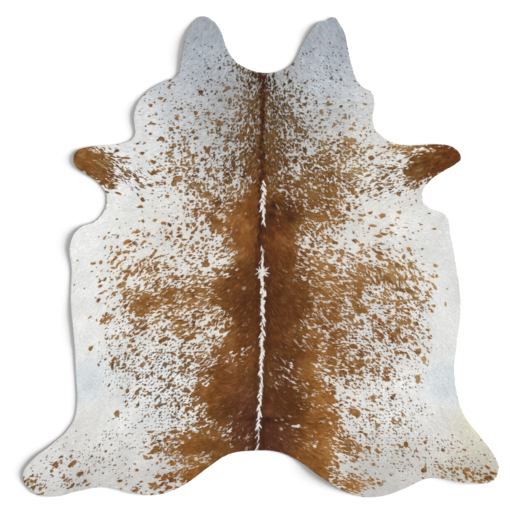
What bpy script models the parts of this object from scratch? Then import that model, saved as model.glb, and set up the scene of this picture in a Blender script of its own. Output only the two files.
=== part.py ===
"""A whole cowhide rug, lying flat with its hair side up.

Metres, +Z up. The spine runs along Y with the neck at +Y, and the origin is under the
middle of the hide's bounding box, on the surface that it lies on.
"""

import bmesh
import bpy

MM = 0.001

# Driving dimensions
SKIN_THICKNESS = 2.4 * MM
COAT_DEPTH = 3.6 * MM  # short hair, combed flat by its growth
HIDE_THICKNESS = SKIN_THICKNESS + COAT_DEPTH
GRID_CELL = 36 * MM  # spacing of the points that carry the lifted edges
GRID_REACH = 1080 * MM  # half the side of the square that the outline is cut from
CURVE_STEPS = 4  # straight steps between two landmarks of the outline
CUTTER_BELOW = 20 * MM
CUTTER_ABOVE = 60 * MM

COAT_COLOUR = (0.56, 0.45, 0.36, 1.0)
COAT_ROUGHNESS = 0.6

# The cut edge of the hide, clockwise seen from above, as one smooth line through landmarks.
# Each stretch: name, then (x, y) in millimetres.
OUTLINE = [
    ("left neck lobe", [
        (-403, 747), (-358, 768), (-341, 815), (-326, 891), (-316, 946), (-292, 989),
        (-248, 1022), (-203, 1004), (-178, 976), (-135, 870), (-105, 829),
    ]),
    ("neck cut", [(-71, 806), (-16, 785), (77, 787), (116, 806), (143, 834)]),
    ("right neck lobe", [
        (175, 897), (230, 980), (256, 999), (286, 1004), (311, 1019), (332, 995),
        (356, 951), (373, 870), (405, 759), (430, 723),
    ]),
    ("right shoulder", [
        (468, 700), (483, 674), (477, 581), (490, 538), (524, 506), (570, 481), (632, 472),
    ]),
    ("right front leg", [
        (770, 476), (821, 462), (850, 419), (825, 392), (783, 368), (706, 309), (687, 254),
        (715, 209),
    ]),
    ("right flank", [
        (787, 175), (808, 101), (834, -48), (851, -214), (838, -354), (824, -490), (847, -630),
    ]),
    ("right hind leg", [
        (872, -686), (944, -779), (993, -847), (1011, -894), (991, -949), (915, -964),
        (791, -945), (715, -941),
    ]),
    ("right rump", [(617, -983), (515, -1017), (405, -1014), (264, -941), (162, -868)]),
    ("tail cut", [(77, -830), (-25, -824), (-135, -839)]),
    ("left rump", [
        (-216, -890), (-314, -962), (-416, -1007), (-526, -1009), (-624, -987), (-666, -979),
    ]),
    ("left hind leg", [
        (-777, -996), (-879, -1019), (-970, -1000), (-1011, -932), (-977, -871),
        (-887, -798), (-802, -711), (-781, -630),
    ]),
    ("left flank", [
        (-785, -520), (-794, -337), (-807, -201), (-804, -61), (-808, 62), (-768, 122),
        (-692, 158),
    ]),
    ("left front leg", [
        (-654, 254), (-688, 313), (-756, 360), (-785, 385), (-795, 417), (-783, 447),
        (-747, 462), (-692, 470), (-581, 483),
    ]),
    ("left shoulder", [(-539, 509), (-539, 594), (-528, 640), (-507, 674), (-467, 713)]),
]

# Where the edge curls off the floor: name, centre x, centre y, reach, height (mm)
LIFTS = [
    ("inner edge of the right rump", 262, -945, 170, 17),
    ("lower edge of the right hind leg", 850, -960, 115, 11),
    ("outer edge of the left neck lobe", -335, 880, 130, 8),
    ("inner edge of the right neck lobe", 225, 965, 110, 6),
    ("left shoulder", -530, 610, 110, 6),
    ("tip of the left front leg", -800, 400, 110, 6),
    ("front corner of the left flank", -810, 90, 150, 8),
    ("left flank", -805, -290, 170, 5),
    ("outer edge of the left hind leg", -960, -850, 150, 7),
    ("front corner of the right flank", 800, 150, 120, 6),
]


def clear_objects():
    """Remove every object of the scene."""
    for obj in list(bpy.data.objects):
        bpy.data.objects.remove(obj, do_unlink=True)


def new_collection(name):
    """A new collection under the scene's own."""
    collection = bpy.data.collections.new(name)
    bpy.context.scene.collection.children.link(collection)
    return collection


def coat_material():
    """The hide's mean colour, with the dull gloss of short hair."""
    material = bpy.data.materials.new("coat")
    material.use_nodes = True
    shader = material.node_tree.nodes["Principled BSDF"]
    shader.inputs["Base Color"].default_value = COAT_COLOUR
    shader.inputs["Roughness"].default_value = COAT_ROUGHNESS
    shader.inputs["Metallic"].default_value = 0.0
    return material


def lift(x, y):
    """Height of the underside over the floor: a soft swell around each lifted edge."""
    height = 0.0
    for _name, centre_x, centre_y, reach, rise in LIFTS:
        distance_squared = (x - centre_x * MM) ** 2 + (y - centre_y * MM) ** 2
        share = 1.0 - distance_squared / (reach * MM) ** 2
        if share > 0.0:
            height = max(height, rise * MM * share ** 2)
    return height


def outline_curve(collection):
    """The cut edge as a filled 2D curve, extruded into a block around the hide."""
    curve = bpy.data.curves.new("outline", "CURVE")
    curve.dimensions = "2D"
    curve.fill_mode = "BOTH"
    curve.resolution_u = CURVE_STEPS
    curve.extrude = (CUTTER_BELOW + CUTTER_ABOVE) / 2
    landmarks = [point for _name, points in OUTLINE for point in points]
    spline = curve.splines.new("BEZIER")
    spline.bezier_points.add(len(landmarks) - 1)
    spline.use_cyclic_u = True
    for bezier_point, (x, y) in zip(spline.bezier_points, landmarks):
        bezier_point.co = (x * MM, y * MM, 0.0)
        bezier_point.handle_left_type = "AUTO"
        bezier_point.handle_right_type = "AUTO"
    outline = bpy.data.objects.new("outline", curve)
    outline.location.z = (CUTTER_ABOVE - CUTTER_BELOW) / 2
    collection.objects.link(outline)
    return outline


def as_cutter(outline, collection):
    """The curve's block as a closed mesh, hidden, to cut the hide with."""
    bpy.context.view_layer.update()
    evaluated = outline.evaluated_get(bpy.context.evaluated_depsgraph_get())
    mesh = bpy.data.meshes.new_from_object(evaluated)
    shape = bmesh.new()
    shape.from_mesh(mesh)
    bmesh.ops.remove_doubles(shape, verts=shape.verts, dist=0.01 * MM)
    bmesh.ops.recalc_face_normals(shape, faces=shape.faces)
    shape.to_mesh(mesh)
    shape.free()
    cutter = bpy.data.objects.new("outline_cutter", mesh)
    cutter.matrix_world = outline.matrix_world
    cutter.hide_render = True
    cutter.display_type = "WIRE"
    collection.objects.link(cutter)
    bpy.data.objects.remove(outline, do_unlink=True)
    return cutter


def hide_sheet(cutter, collection):
    """The hide: a gridded sheet with lifted edges, thickened and cut to its outline."""
    mesh = bpy.data.meshes.new("hide")
    shape = bmesh.new()
    cells = round(2 * GRID_REACH / GRID_CELL)
    bmesh.ops.create_grid(shape, x_segments=cells, y_segments=cells, size=GRID_REACH)
    for vertex in shape.verts:
        vertex.co.z = lift(vertex.co.x, vertex.co.y)
    shape.to_mesh(mesh)
    shape.free()
    hide = bpy.data.objects.new("hide", mesh)
    hide.data.materials.append(coat_material())
    collection.objects.link(hide)

    thicken = hide.modifiers.new("skin and coat", "SOLIDIFY")
    thicken.thickness = HIDE_THICKNESS
    thicken.offset = 1.0

    trim = hide.modifiers.new("cut to the outline", "BOOLEAN")
    trim.operation = "INTERSECT"
    trim.solver = "EXACT"
    trim.object = cutter
    return hide


def main():
    clear_objects()
    rug = new_collection("cowhide_rug")
    cutters = new_collection("cutters")
    cutter = as_cutter(outline_curve(cutters), cutters)
    hide_sheet(cutter, rug)


main()
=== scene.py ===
import math
from collections import namedtuple

import bpy
import numpy as np
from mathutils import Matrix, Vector
from mathutils.bvhtree import BVHTree
from mathutils.geometry import delaunay_2d_cdt


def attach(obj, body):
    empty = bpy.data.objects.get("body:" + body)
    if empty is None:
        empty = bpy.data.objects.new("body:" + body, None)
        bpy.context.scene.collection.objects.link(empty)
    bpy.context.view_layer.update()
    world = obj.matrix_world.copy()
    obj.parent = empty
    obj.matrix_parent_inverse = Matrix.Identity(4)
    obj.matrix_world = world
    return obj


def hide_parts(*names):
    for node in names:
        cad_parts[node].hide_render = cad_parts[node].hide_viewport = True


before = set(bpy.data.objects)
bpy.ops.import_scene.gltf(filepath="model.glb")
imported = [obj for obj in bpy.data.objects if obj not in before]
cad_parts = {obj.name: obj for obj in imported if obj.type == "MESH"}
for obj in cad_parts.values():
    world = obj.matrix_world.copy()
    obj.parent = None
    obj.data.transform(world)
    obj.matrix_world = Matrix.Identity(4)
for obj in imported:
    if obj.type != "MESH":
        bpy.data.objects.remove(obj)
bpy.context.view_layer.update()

MM = 0.001

# ---- Rasters: fields on a square grid over the hide, in millimetres from the frame's origin ----

PHOTO_MM_PER_PX = 4.25
PHOTO_CENTRE = (260.8, 256.65)  # the photograph's pixel that the frame's origin falls on

RASTER_STEP = 1.6  # mm
RASTER_HALF = 1036.0  # mm from the origin to the raster's edge
RASTER_COUNT = round(2 * RASTER_HALF / RASTER_STEP) + 1
CELLS_PER_PX = PHOTO_MM_PER_PX / RASTER_STEP
RASTER_AXIS = np.linspace(-RASTER_HALF, RASTER_HALF, RASTER_COUNT)
RASTER_X, RASTER_Y = np.meshgrid(RASTER_AXIS, RASTER_AXIS)
COLUMN = RASTER_X / PHOTO_MM_PER_PX + PHOTO_CENTRE[0]
ROW = PHOTO_CENTRE[1] - RASTER_Y / PHOTO_MM_PER_PX

FREQUENCY = np.fft.fftfreq(RASTER_COUNT, RASTER_STEP)
FREQUENCY_SQUARED = FREQUENCY[:, None] ** 2 + FREQUENCY[None, :] ** 2

COARSE = 8  # the smooth fields are worked out on every 8th raster line
COARSE_AXIS = np.arange(-RASTER_HALF, RASTER_HALF + COARSE * RASTER_STEP, COARSE * RASTER_STEP)
COARSE_X, COARSE_Y = np.meshgrid(COARSE_AXIS, COARSE_AXIS)
COARSE_COLUMN = COARSE_X / PHOTO_MM_PER_PX + PHOTO_CENTRE[0]
COARSE_ROW = PHOTO_CENTRE[1] - COARSE_Y / PHOTO_MM_PER_PX

random = np.random.default_rng(7)


def from_photo(column, row):
    """The place in millimetres of a pixel of the photograph."""
    x = (column - PHOTO_CENTRE[0]) * PHOTO_MM_PER_PX
    y = (PHOTO_CENTRE[1] - row) * PHOTO_MM_PER_PX
    return x, y


def in_cells(place):
    """A place in millimetres as a number of raster cells from the raster's low edge."""
    return (place + RASTER_HALF) / RASTER_STEP


def smoothstep(low, high, value):
    """0 at low and before it, 1 at high and past it, with a smooth rise between them."""
    share = np.clip((value - low) / (high - low), 0.0, 1.0)
    return share * share * (3.0 - 2.0 * share)


def blend(first, second, share):
    """The first where the share is 0, the second where it is 1."""
    return first * (1.0 - share) + second * share


def turned(first, second, angle):
    """The parts of a vector along and across a direction, the angle in radians."""
    cosine = np.cos(angle)
    sine = np.sin(angle)
    return first * cosine + second * sine, second * cosine - first * sine


def blur(field, sigma):
    """Gaussian blur of a raster field, sigma in millimetres."""
    kernel = np.exp(-2.0 * np.pi ** 2 * sigma ** 2 * FREQUENCY_SQUARED)
    return np.fft.ifft2(np.fft.fft2(field) * kernel).real


def noise(sigma):
    """Smooth random field of unit variance with grains of about sigma millimetres."""
    field = blur(random.standard_normal((RASTER_COUNT, RASTER_COUNT)), sigma)
    return field / field.std()


def sample(field, x, y):
    """Bilinear value of a raster field at places in millimetres."""
    u = np.clip(in_cells(x), 0.0, RASTER_COUNT - 1.001)
    v = np.clip(in_cells(y), 0.0, RASTER_COUNT - 1.001)
    i = u.astype(np.int32)
    j = v.astype(np.int32)
    s = (u - i).astype(np.float32)
    t = (v - j).astype(np.float32)
    if field.ndim == 3:
        s = s[..., None]
        t = t[..., None]
    below = blend(field[j, i], field[j, i + 1], s)
    above = blend(field[j + 1, i], field[j + 1, i + 1], s)
    return blend(below, above, t)


def enlarge(field):
    """A coarse field as a full raster field."""
    place = np.arange(RASTER_COUNT) / COARSE
    low = np.minimum(place.astype(int), len(field) - 2)
    share = place - low
    more = (1,) * (field.ndim - 2)
    down = share.reshape((-1, 1) + more)
    across = share.reshape((1, -1) + more)
    rows = blend(field[low], field[low + 1], down)
    return blend(rows[:, low], rows[:, low + 1], across)


def window_around(x, y, cells):
    """The part of the raster within a number of cells of a place in millimetres."""
    i = int(round(in_cells(x)))
    j = int(round(in_cells(y)))
    return slice(max(j - cells, 0), j + cells + 1), slice(max(i - cells, 0), i + cells + 1)


def ellipse(column, row, across, down, degrees=0.0):
    """1 in the middle of an ellipse given in photograph pixels, fading to 0 around it (coarse)."""
    u, v = turned(COARSE_COLUMN - column, COARSE_ROW - row, np.radians(degrees))
    return np.exp(-0.7 * ((u / across) ** 2 + (v / down) ** 2) ** 1.5)


def shares(rows):
    """The summed share of a table's ellipses."""
    total = np.zeros(COARSE_X.shape)
    for column, row, across, down, share, *degrees in rows:
        total += share * ellipse(column, row, across, down, *degrees)
    return enlarge(total)


def overlaid(rows):
    """What a table's ellipses cover together, each over the rest."""
    bare = np.ones(COARSE_X.shape)
    for column, row, across, down, share, *degrees in rows:
        bare *= 1.0 - share * ellipse(column, row, across, down, *degrees)
    return enlarge(1.0 - bare)


# ---- Hair lay ----

# How the hair lies on the right half, mirrored for the left: column, row, degrees
HAIR_LAY = [
    (262, 60, -90), (300, 60, -60), (335, 30, -70), (360, 70, -40), (280, 100, -50), (330, 110, -15),
    (370, 105, -5), (370, 135, -5), (280, 160, -55), (320, 165, -40), (360, 165, -15), (390, 185, 35),
    (420, 165, 35), (455, 158, 20), (400, 150, 5), (280, 220, -48), (320, 230, -26), (380, 225, -18),
    (440, 235, -22), (280, 300, -36), (320, 300, -20), (370, 300, -36), (412, 280, -34), (440, 310, -54),
    (280, 370, -34), (320, 370, -18), (380, 370, -32), (430, 360, -50), (280, 430, -36), (320, 430, -22),
    (380, 430, -34), (450, 430, -38), (490, 465, -35), (320, 480, -25), (370, 485, -25), (430, 470, -35),
]
LAY_REACH = 85.0  # mm over which a row of HAIR_LAY holds
LAY_TURNS = [(0.14, 30.0), (0.07, 9.0)]  # radians that the hair wavers by, and over how many mm


def hair_lay():
    """Unit vectors along the hair, as an array of x and y parts."""
    along = np.zeros(COARSE_X.shape + (2,))
    for column, row, degrees in HAIR_LAY:
        x, y = from_photo(column, row)
        for side in (1, -1):
            distance_squared = (COARSE_X - side * x) ** 2 + (COARSE_Y - y) ** 2
            weight = np.exp(-distance_squared / (2.0 * LAY_REACH ** 2)) + 1e-9
            along[..., 0] += weight * side * np.cos(np.radians(degrees))
            along[..., 1] += weight * np.sin(np.radians(degrees))
    along /= np.linalg.norm(along, axis=-1, keepdims=True) + 1e-9
    along = enlarge(along)
    turn = sum(angle * noise(reach) for angle, reach in LAY_TURNS)
    both = np.stack(turned(along[..., 0], along[..., 1], -turn), -1)
    return (both / np.linalg.norm(both, axis=-1, keepdims=True)).astype(np.float32)


def drawn_out(fields, lay, reach, steps):
    """Fields averaged along the hair over reach millimetres each way, at unit variance."""
    fields = fields.astype(np.float32)
    total = fields.copy()
    weights = 1.0
    for sign in (1.0, -1.0):
        x = RASTER_X.astype(np.float32)
        y = RASTER_Y.astype(np.float32)
        for step in range(1, steps + 1):
            along = sample(lay, x, y)
            x = x + sign * reach / steps * along[..., 0]
            y = y + sign * reach / steps * along[..., 1]
            weight = 1.0 - step / (steps + 1.0)
            total += weight * sample(fields, x, y)
            weights += weight
    total /= weights
    return total / total.std(axis=(0, 1), keepdims=True)


# ---- Coat pattern: tables, with places and sizes in the photograph's pixels ----

# The solid brown band along the spine: row, its left and right columns
BAND = [
    (60, 262, 263), (160, 262, 263), (175, 256, 266), (185, 250, 272), (198, 236, 288), (208, 228, 302),
    (222, 223, 303), (238, 226, 301), (252, 230, 302), (268, 228, 302), (280, 216, 301), (292, 211, 308),
    (305, 221, 313), (320, 228, 312), (335, 222, 318), (350, 213, 328), (365, 208, 316), (380, 207, 321),
    (395, 194, 330), (410, 204, 333), (425, 200, 340), (440, 184, 338), (452, 180, 338), (464, 180, 332),
    (500, 180, 330),
]

# The next five tables hold ellipses: column, row, reach across, reach down, a share or change, and
# degrees where the ellipse is turned

# Share of brown hair outside the band
PATCHES = [
    # neck and shoulders
    (262, 122, 30, 56, 0.38), (240, 150, 24, 40, 0.16), (290, 138, 22, 40, 0.36), (279, 112, 10, 10, 0.42),
    (264, 142, 22, 34, 0.22), (300, 132, 9, 12, 0.28), (256, 102, 10, 16, 0.72), (271, 96, 9, 12, 0.5),
    (262, 84, 12, 12, 0.3), (252, 128, 10, 14, 0.4), (276, 134, 12, 18, 0.45), (252, 165, 9, 22, 0.6),
    (273, 164, 9, 16, 0.7), (182, 172, 13, 15, 0.14), (200, 138, 54, 50, 0.08), (204, 137, 16, 22, 0.14),
    (223, 93, 10, 12, 0.08), (331, 120, 16, 18, 0.13), (268, 124, 22, 12, 0.2), (262, 175, 26, 30, 0.5),
    (314, 200, 32, 29, 0.8), (342, 153, 22, 15, 0.56, -20), (336, 182, 24, 22, 0.3), (240, 180, 9, 9, 0.14),
    (196, 196, 12, 10, 0.15), (180, 165, 16, 22, 0.34), (206, 182, 24, 24, 0.22), (206, 216, 16, 11, 0.38),
    (231, 214, 20, 13, 0.54), (213, 230, 14, 9, 0.24), (395, 165, 24, 20, 0.03, -20), (260, 66, 20, 6, 0.4),
    (240, 68, 14, 10, 0.3, 40),
    # left flank
    (130, 250, 30, 22, 0.09), (180, 241, 12, 10, 0.15), (150, 256, 10, 8, 0.08), (178, 292, 15, 11, 0.16),
    (170, 258, 26, 16, 0.03), (190, 250, 28, 22, 0.16, 30), (226, 246, 10, 18, 0.2, -20),
    (146, 288, 44, 26, 0.13), (142, 270, 16, 10, 0.26), (122, 296, 16, 10, 0.2), (195, 292, 45, 16, 0.34),
    (143, 304, 14, 12, 0.88), (144, 328, 14, 9, 0.16), (223, 294, 14, 24, 0.56, 10),
    (206, 358, 12, 12, 0.26), (175, 300, 20, 10, 0.25), (196, 318, 33, 25, 0.42), (148, 324, 12, 12, 0.14),
    (140, 338, 18, 14, 0.12), (154, 306, 14, 12, 0.16), (128, 254, 16, 10, 0.08),
    (107, 319, 7, 5, 0.9, -25), (202, 352, 18, 22, 0.32), (190, 378, 18, 22, 0.22),
    (128, 352, 24, 16, 0.08), (140, 380, 40, 36, 0.03), (186, 398, 14, 14, 0.07), (197, 407, 15, 22, 0.38),
    (174, 448, 22, 11, 0.6), (182, 441, 12, 11, 0.42), (214, 442, 17, 18, 0.92),
    # right flank
    (318, 262, 17, 18, 0.48), (315, 290, 26, 28, 0.78), (326, 335, 23, 32, 0.84), (348, 287, 22, 24, 0.37),
    (382, 277, 32, 22, 0.47), (400, 298, 24, 17, 0.25), (394, 330, 22, 23, 0.38), (350, 362, 22, 18, 0.46),
    (372, 368, 28, 17, 0.2), (330, 381, 14, 17, 0.27), (346, 413, 18, 12, 0.23, 10),
    (346, 448, 22, 13, 0.44, 5), (385, 400, 26, 30, 0.1), (408, 450, 14, 12, 0.08),
    (370, 232, 40, 14, 0.03), (360, 312, 20, 24, 0.08), (414, 356, 14, 20, 0.08), (392, 258, 14, 18, 0.1),
    (354, 254, 15, 13, 0.18), (421, 286, 9, 12, 0.16), (350, 396, 16, 16, 0.05),
    # rump lobes
    (176, 477, 24, 11, 0.4, -30), (150, 489, 24, 5, 0.2), (215, 453, 26, 13, 0.86, -10),
    (304, 461, 18, 11, 0.44, 30), (353, 485, 18, 9, 0.8), (330, 474, 16, 16, 0.1), (352, 464, 24, 10, 0.02),
    # hind legs
    (32, 482, 12, 9, 0.45), (55, 466, 10, 5, 0.38, -35), (75, 475, 40, 16, 0.05),
    (462, 474, 26, 8, 0.3, 15), (486, 479, 8, 5, 0.7), (430, 458, 30, 16, 0.05),
    # front legs
    (88, 160, 20, 13, 1.0, 12), (86, 158, 19, 12, 0.92, 8), (93, 168, 17, 9, 0.92, 38),
    (101, 167, 14, 12, 0.95, 30), (110, 183, 8, 9, 0.7), (112, 156, 7, 5, 0.5, 20),
    (128, 176, 22, 9, 0.2, 32), (444, 158, 26, 14, 1.0, -8), (446, 156, 22, 12, 0.92, -5),
    (444, 164, 20, 10, 0.85, -28), (425, 166, 16, 10, 0.95, -25), (415, 178, 8, 11, 0.66, 10),
    (412, 170, 13, 9, 0.72, -25), (390, 180, 22, 12, 0.22, -32), (402, 150, 20, 6, 0.52),
    (385, 160, 20, 10, 0.03),
]

# Share of pale flecks in the brown
FLECKS = [
    (236, 357, 14, 4, 0.3, -28), (291, 375, 7, 14, 0.2, -30), (224, 428, 14, 4, 0.22, -36),
    (291, 426, 12, 6, 0.12, 30), (276, 384, 5, 4, 0.2), (300, 340, 10, 14, 0.1), (228, 256, 10, 8, 0.15),
    (236, 300, 8, 20, 0.03, 20), (292, 206, 10, 5, 0.25), (240, 330, 14, 16, 0.02),
    (288, 378, 14, 14, 0.05), (290, 428, 12, 14, 0.05), (232, 425, 24, 18, 0.06), (240, 440, 20, 8, 0.05),
    (245, 225, 14, 16, 0.02), (285, 222, 12, 8, 0.04), (230, 360, 16, 14, 0.05), (317, 330, 13, 20, 0.3),
    (205, 425, 10, 10, 0.2), (190, 463, 22, 6, 0.42, -15), (275, 350, 16, 40, 0.02),
    (315, 402, 14, 18, 0.12), (320, 445, 20, 12, 0.1), (101, 150, 9, 2.5, 0.6, 8), (95, 160, 9, 4, 0.1),
    (425, 149, 8, 2.5, 0.16), (178, 478, 8, 6, 0.35), (262, 345, 60, 120, 0.012),
]

# Darker and lighter brown, as a change of tone, with painted shade along the hide's creases
SHADES = [
    (283, 211, 13, 9, -0.28, 20), (298, 219, 8, 6, -0.06), (270, 213, 6, 12, -0.22),
    (262, 82, 16, 9, -0.25), (259, 235, 4, 14, -0.22), (252, 268, 14, 10, -0.1, -20),
    # painted shade along creases in the hide: (246, 347), (277, 345) and (268, 420) on the next line
    (246, 318, 9, 26, -0.1), (246, 347, 16, 2, -0.16, -6), (277, 345, 14, 2, -0.14, 4),
    (268, 420, 22, 2.5, -0.3, 3), (300, 405, 10, 18, -0.14, 15), (224, 408, 12, 10, -0.14, -30),
    (232, 352, 8, 12, 0.1, 20), (292, 300, 8, 8, 0.1), (250, 398, 14, 10, 0.06), (286, 345, 9, 22, 0.06, 5),
    (245, 228, 9, 20, 0.05), (280, 240, 10, 14, 0.08), (210, 395, 8, 12, 0.08), (316, 345, 10, 14, 0.06),
    (205, 446, 14, 6, -0.1, -20), (204, 416, 14, 18, -0.12),
]

# Share of small dark specks in the pale hair
SPECKS = [
    (228, 128, 40, 40, 0.06), (292, 128, 34, 38, 0.05), (180, 180, 40, 34, 0.05), (400, 180, 26, 20, 0.08),
    (350, 150, 34, 40, 0.03), (165, 275, 60, 40, 0.05), (150, 350, 55, 40, 0.14), (178, 405, 36, 44, 0.18),
    (120, 445, 44, 30, 0.05), (75, 475, 45, 18, 0.05), (390, 320, 46, 50, 0.14), (370, 390, 44, 44, 0.13),
    (410, 445, 50, 30, 0.07), (460, 470, 40, 16, 0.06), (380, 240, 50, 20, 0.03), (200, 62, 24, 18, 0.03),
    (330, 70, 24, 18, 0.03),
]

# Where the spots beside the front legs are narrow and slanting
DASHES = [
    (126, 176, 26, 15, 1.0, 30), (392, 176, 26, 15, 1.0, -30),
]

# Single spots that stand out: column, row, half length, half width, degrees, tone
SPOTS = [
    (117, 414, 3.6, 2.4, 85, 0.8), (424, 470, 3.0, 2.3, 0, -1.5), (178, 128, 2.2, 1.6, 10, -0.2),
    (171, 129, 2.7, 1.6, -10, 0.4), (156, 114, 2.2, 1.7, 80, 1.8), (151, 123, 1.9, 1.7, 80, 1.2),
    (143, 200, 2.8, 2.1, -50, -0.3), (137, 181, 3.2, 1.3, -40, 0.0), (179, 179, 3.4, 3.1, -20, 0.6),
    (154, 162, 3.3, 2.2, -15, 0.3), (153, 173, 3.2, 2.7, 10, 0.2), (208, 170, 2.7, 2.3, 0, 0.5),
    (382, 216, 3.3, 2.3, 10, 0.5), (399, 212, 2.3, 1.7, -10, 0.8), (398, 218, 1.7, 1.1, 0, 0.4),
    (404, 237, 1.9, 1.1, -20, 0.3), (434, 229, 2.0, 1.2, 0, 0.9), (421, 225, 1.4, 0.9, 0, 0.5),
    (446, 304, 1.1, 2.3, 10, 0.4), (447, 289, 0.8, 0.9, 0, 0.0), (436, 266, 1.9, 2.3, 60, 0.9),
    (434, 306, 1.6, 1.4, 0, 0.0), (424, 359, 2.8, 2.5, 80, 1.9), (418, 379, 4.4, 2.8, -85, 1.9),
    (419, 350, 2.3, 1.6, 60, 1.2), (360, 364, 5.2, 4.2, 20, -1.2), (430, 289, 1.7, 1.6, 0, -0.2),
    (378, 425, 3.0, 1.6, -15, 0.8), (382, 409, 2.7, 1.4, -10, 1.0), (355, 413, 6.5, 3.8, -30, -0.3),
    (137, 232, 3.3, 2.0, 20, 1.3), (148, 234, 2.0, 1.6, 30, 0.9), (126, 252, 4.2, 2.0, 5, 1.5),
    (143, 242, 2.8, 1.4, 35, 1.0), (155, 220, 2.2, 1.6, 20, 0.9), (164, 223, 2.5, 1.4, 20, 0.6),
    (112, 262, 2.5, 1.9, 60, 1.0), (101, 262, 2.7, 1.6, 60, 0.9), (111, 247, 1.7, 1.2, 20, 0.8),
    (179, 229, 2.3, 1.7, 60, 0.3), (196, 230, 1.9, 1.2, 20, 0.2), (120, 481, 2.5, 1.9, 20, -0.5),
    (137, 393, 2.7, 2.0, 25, 0.6), (127, 391, 2.3, 1.9, 60, 0.4), (138, 405, 2.0, 1.4, 70, 0.5),
    (118, 362, 2.5, 1.7, 50, 1.0), (113, 368, 1.6, 1.2, 0, 1.0), (111, 364, 1.6, 1.6, 0, 1.4),
    (147, 375, 1.7, 1.4, 30, 0.6), (160, 378, 2.2, 1.6, 10, -0.2), (172, 353, 3.6, 1.4, -15, 0.2),
    (157, 406, 3.4, 1.2, 40, 0.0), (134, 350, 3.9, 1.6, 15, 0.2), (150, 432, 2.8, 1.2, 15, 0.4),
    (114, 295, 1.7, 1.7, 0, 0.7), (149, 432, 2.0, 1.2, 30, 0.2), (187, 409, 3.4, 2.3, 35, 0.1),
    (320, 128, 1.6, 1.4, 0, -0.2), (345, 118, 2.2, 1.7, 0, 0.5), (354, 124, 1.9, 1.4, 60, 0.3),
    (365, 104, 2.3, 1.4, 0, 0.4), (330, 105, 1.4, 1.1, 0, 0.3), (378, 236, 3.9, 1.4, 5, 0.9),
    (142, 186, 2.4, 2.0, -30, 0.2), (129, 173, 4.0, 0.9, -38, -0.3), (138, 195, 1.6, 1.2, -60, -1.8),
    (141, 207, 2.4, 1.3, 0, 0.2), (409, 150, 3.4, 2.3, -20, 1.0), (400, 146, 2.1, 1.3, 0, 0.8),
    (390, 145, 2.2, 1.2, 0, 0.8), (126, 158, 4.5, 1.0, 0, 0.8), (412, 159, 2.8, 1.5, 50, -1.2),
    (307, 54, 0.9, 0.8, 0, -2.0), (304, 54, 0.8, 0.7, 0, -2.0), (337, 70, 1.2, 0.9, 0, -1.0),
    (161, 98, 2.7, 1.2, 5, 0.8), (171, 85, 1.1, 0.9, 20, -0.5), (308, 112, 1.7, 1.4, 0, 0.0),
    (360, 220, 2.5, 1.7, 10, 0.7), (391, 233, 2.3, 1.9, -40, 1.0), (408, 108, 1.2, 0.9, 0, 0.2),
]

# Middle of the spine: row, column
SPINE = [
    (60, 262), (185, 263), (222, 263.5), (245, 262), (272, 262.5), (300, 263), (350, 262), (400, 260),
    (430, 258.5), (460, 257.5),
]

# White hair along the spine: first row, last row, half width
WHITE_RUNS = [
    (181, 190, 0.9), (188, 213, 1.6), (212, 222, 0.8), (246, 258, 0.5), (256, 268, 0.9), (268, 284, 1.5),
    (280, 310, 1.7), (308, 352, 1.3), (350, 400, 1.1), (400, 428, 1.0), (426, 450, 0.5),
]

# The white star on the spine: column, row
STAR = (262.0, 271.0)

# Its arms: degrees, length, half width
STAR_ARMS = [
    (5, 6, 1.1), (30, 8, 0.8), (52, 5, 0.6), (80, 6, 0.8), (120, 4, 0.5), (152, 6, 0.6), (185, 4, 0.7),
    (210, 7, 0.6), (238, 8, 1.0), (262, 9, 1.2), (300, 6, 0.9), (328, 9, 0.9), (345, 7, 0.7), (222, 9, 0.5),
    (318, 5, 1.2),
]

# The hair's colours as they show in soft light, red, green and blue from 0 to 255: the white and the
# dark line on the spine (dark hair with painted shade), then the pale and the brown hair's colours by
# name, each with the places where it lies as column, row, reach, lightness
WHITE_HAIR = (236, 234, 230)
# dark brown with painted shade, for the dark line along the spine
SPINE_HAIR_AND_SHADE = (54, 28, 10)
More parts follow.
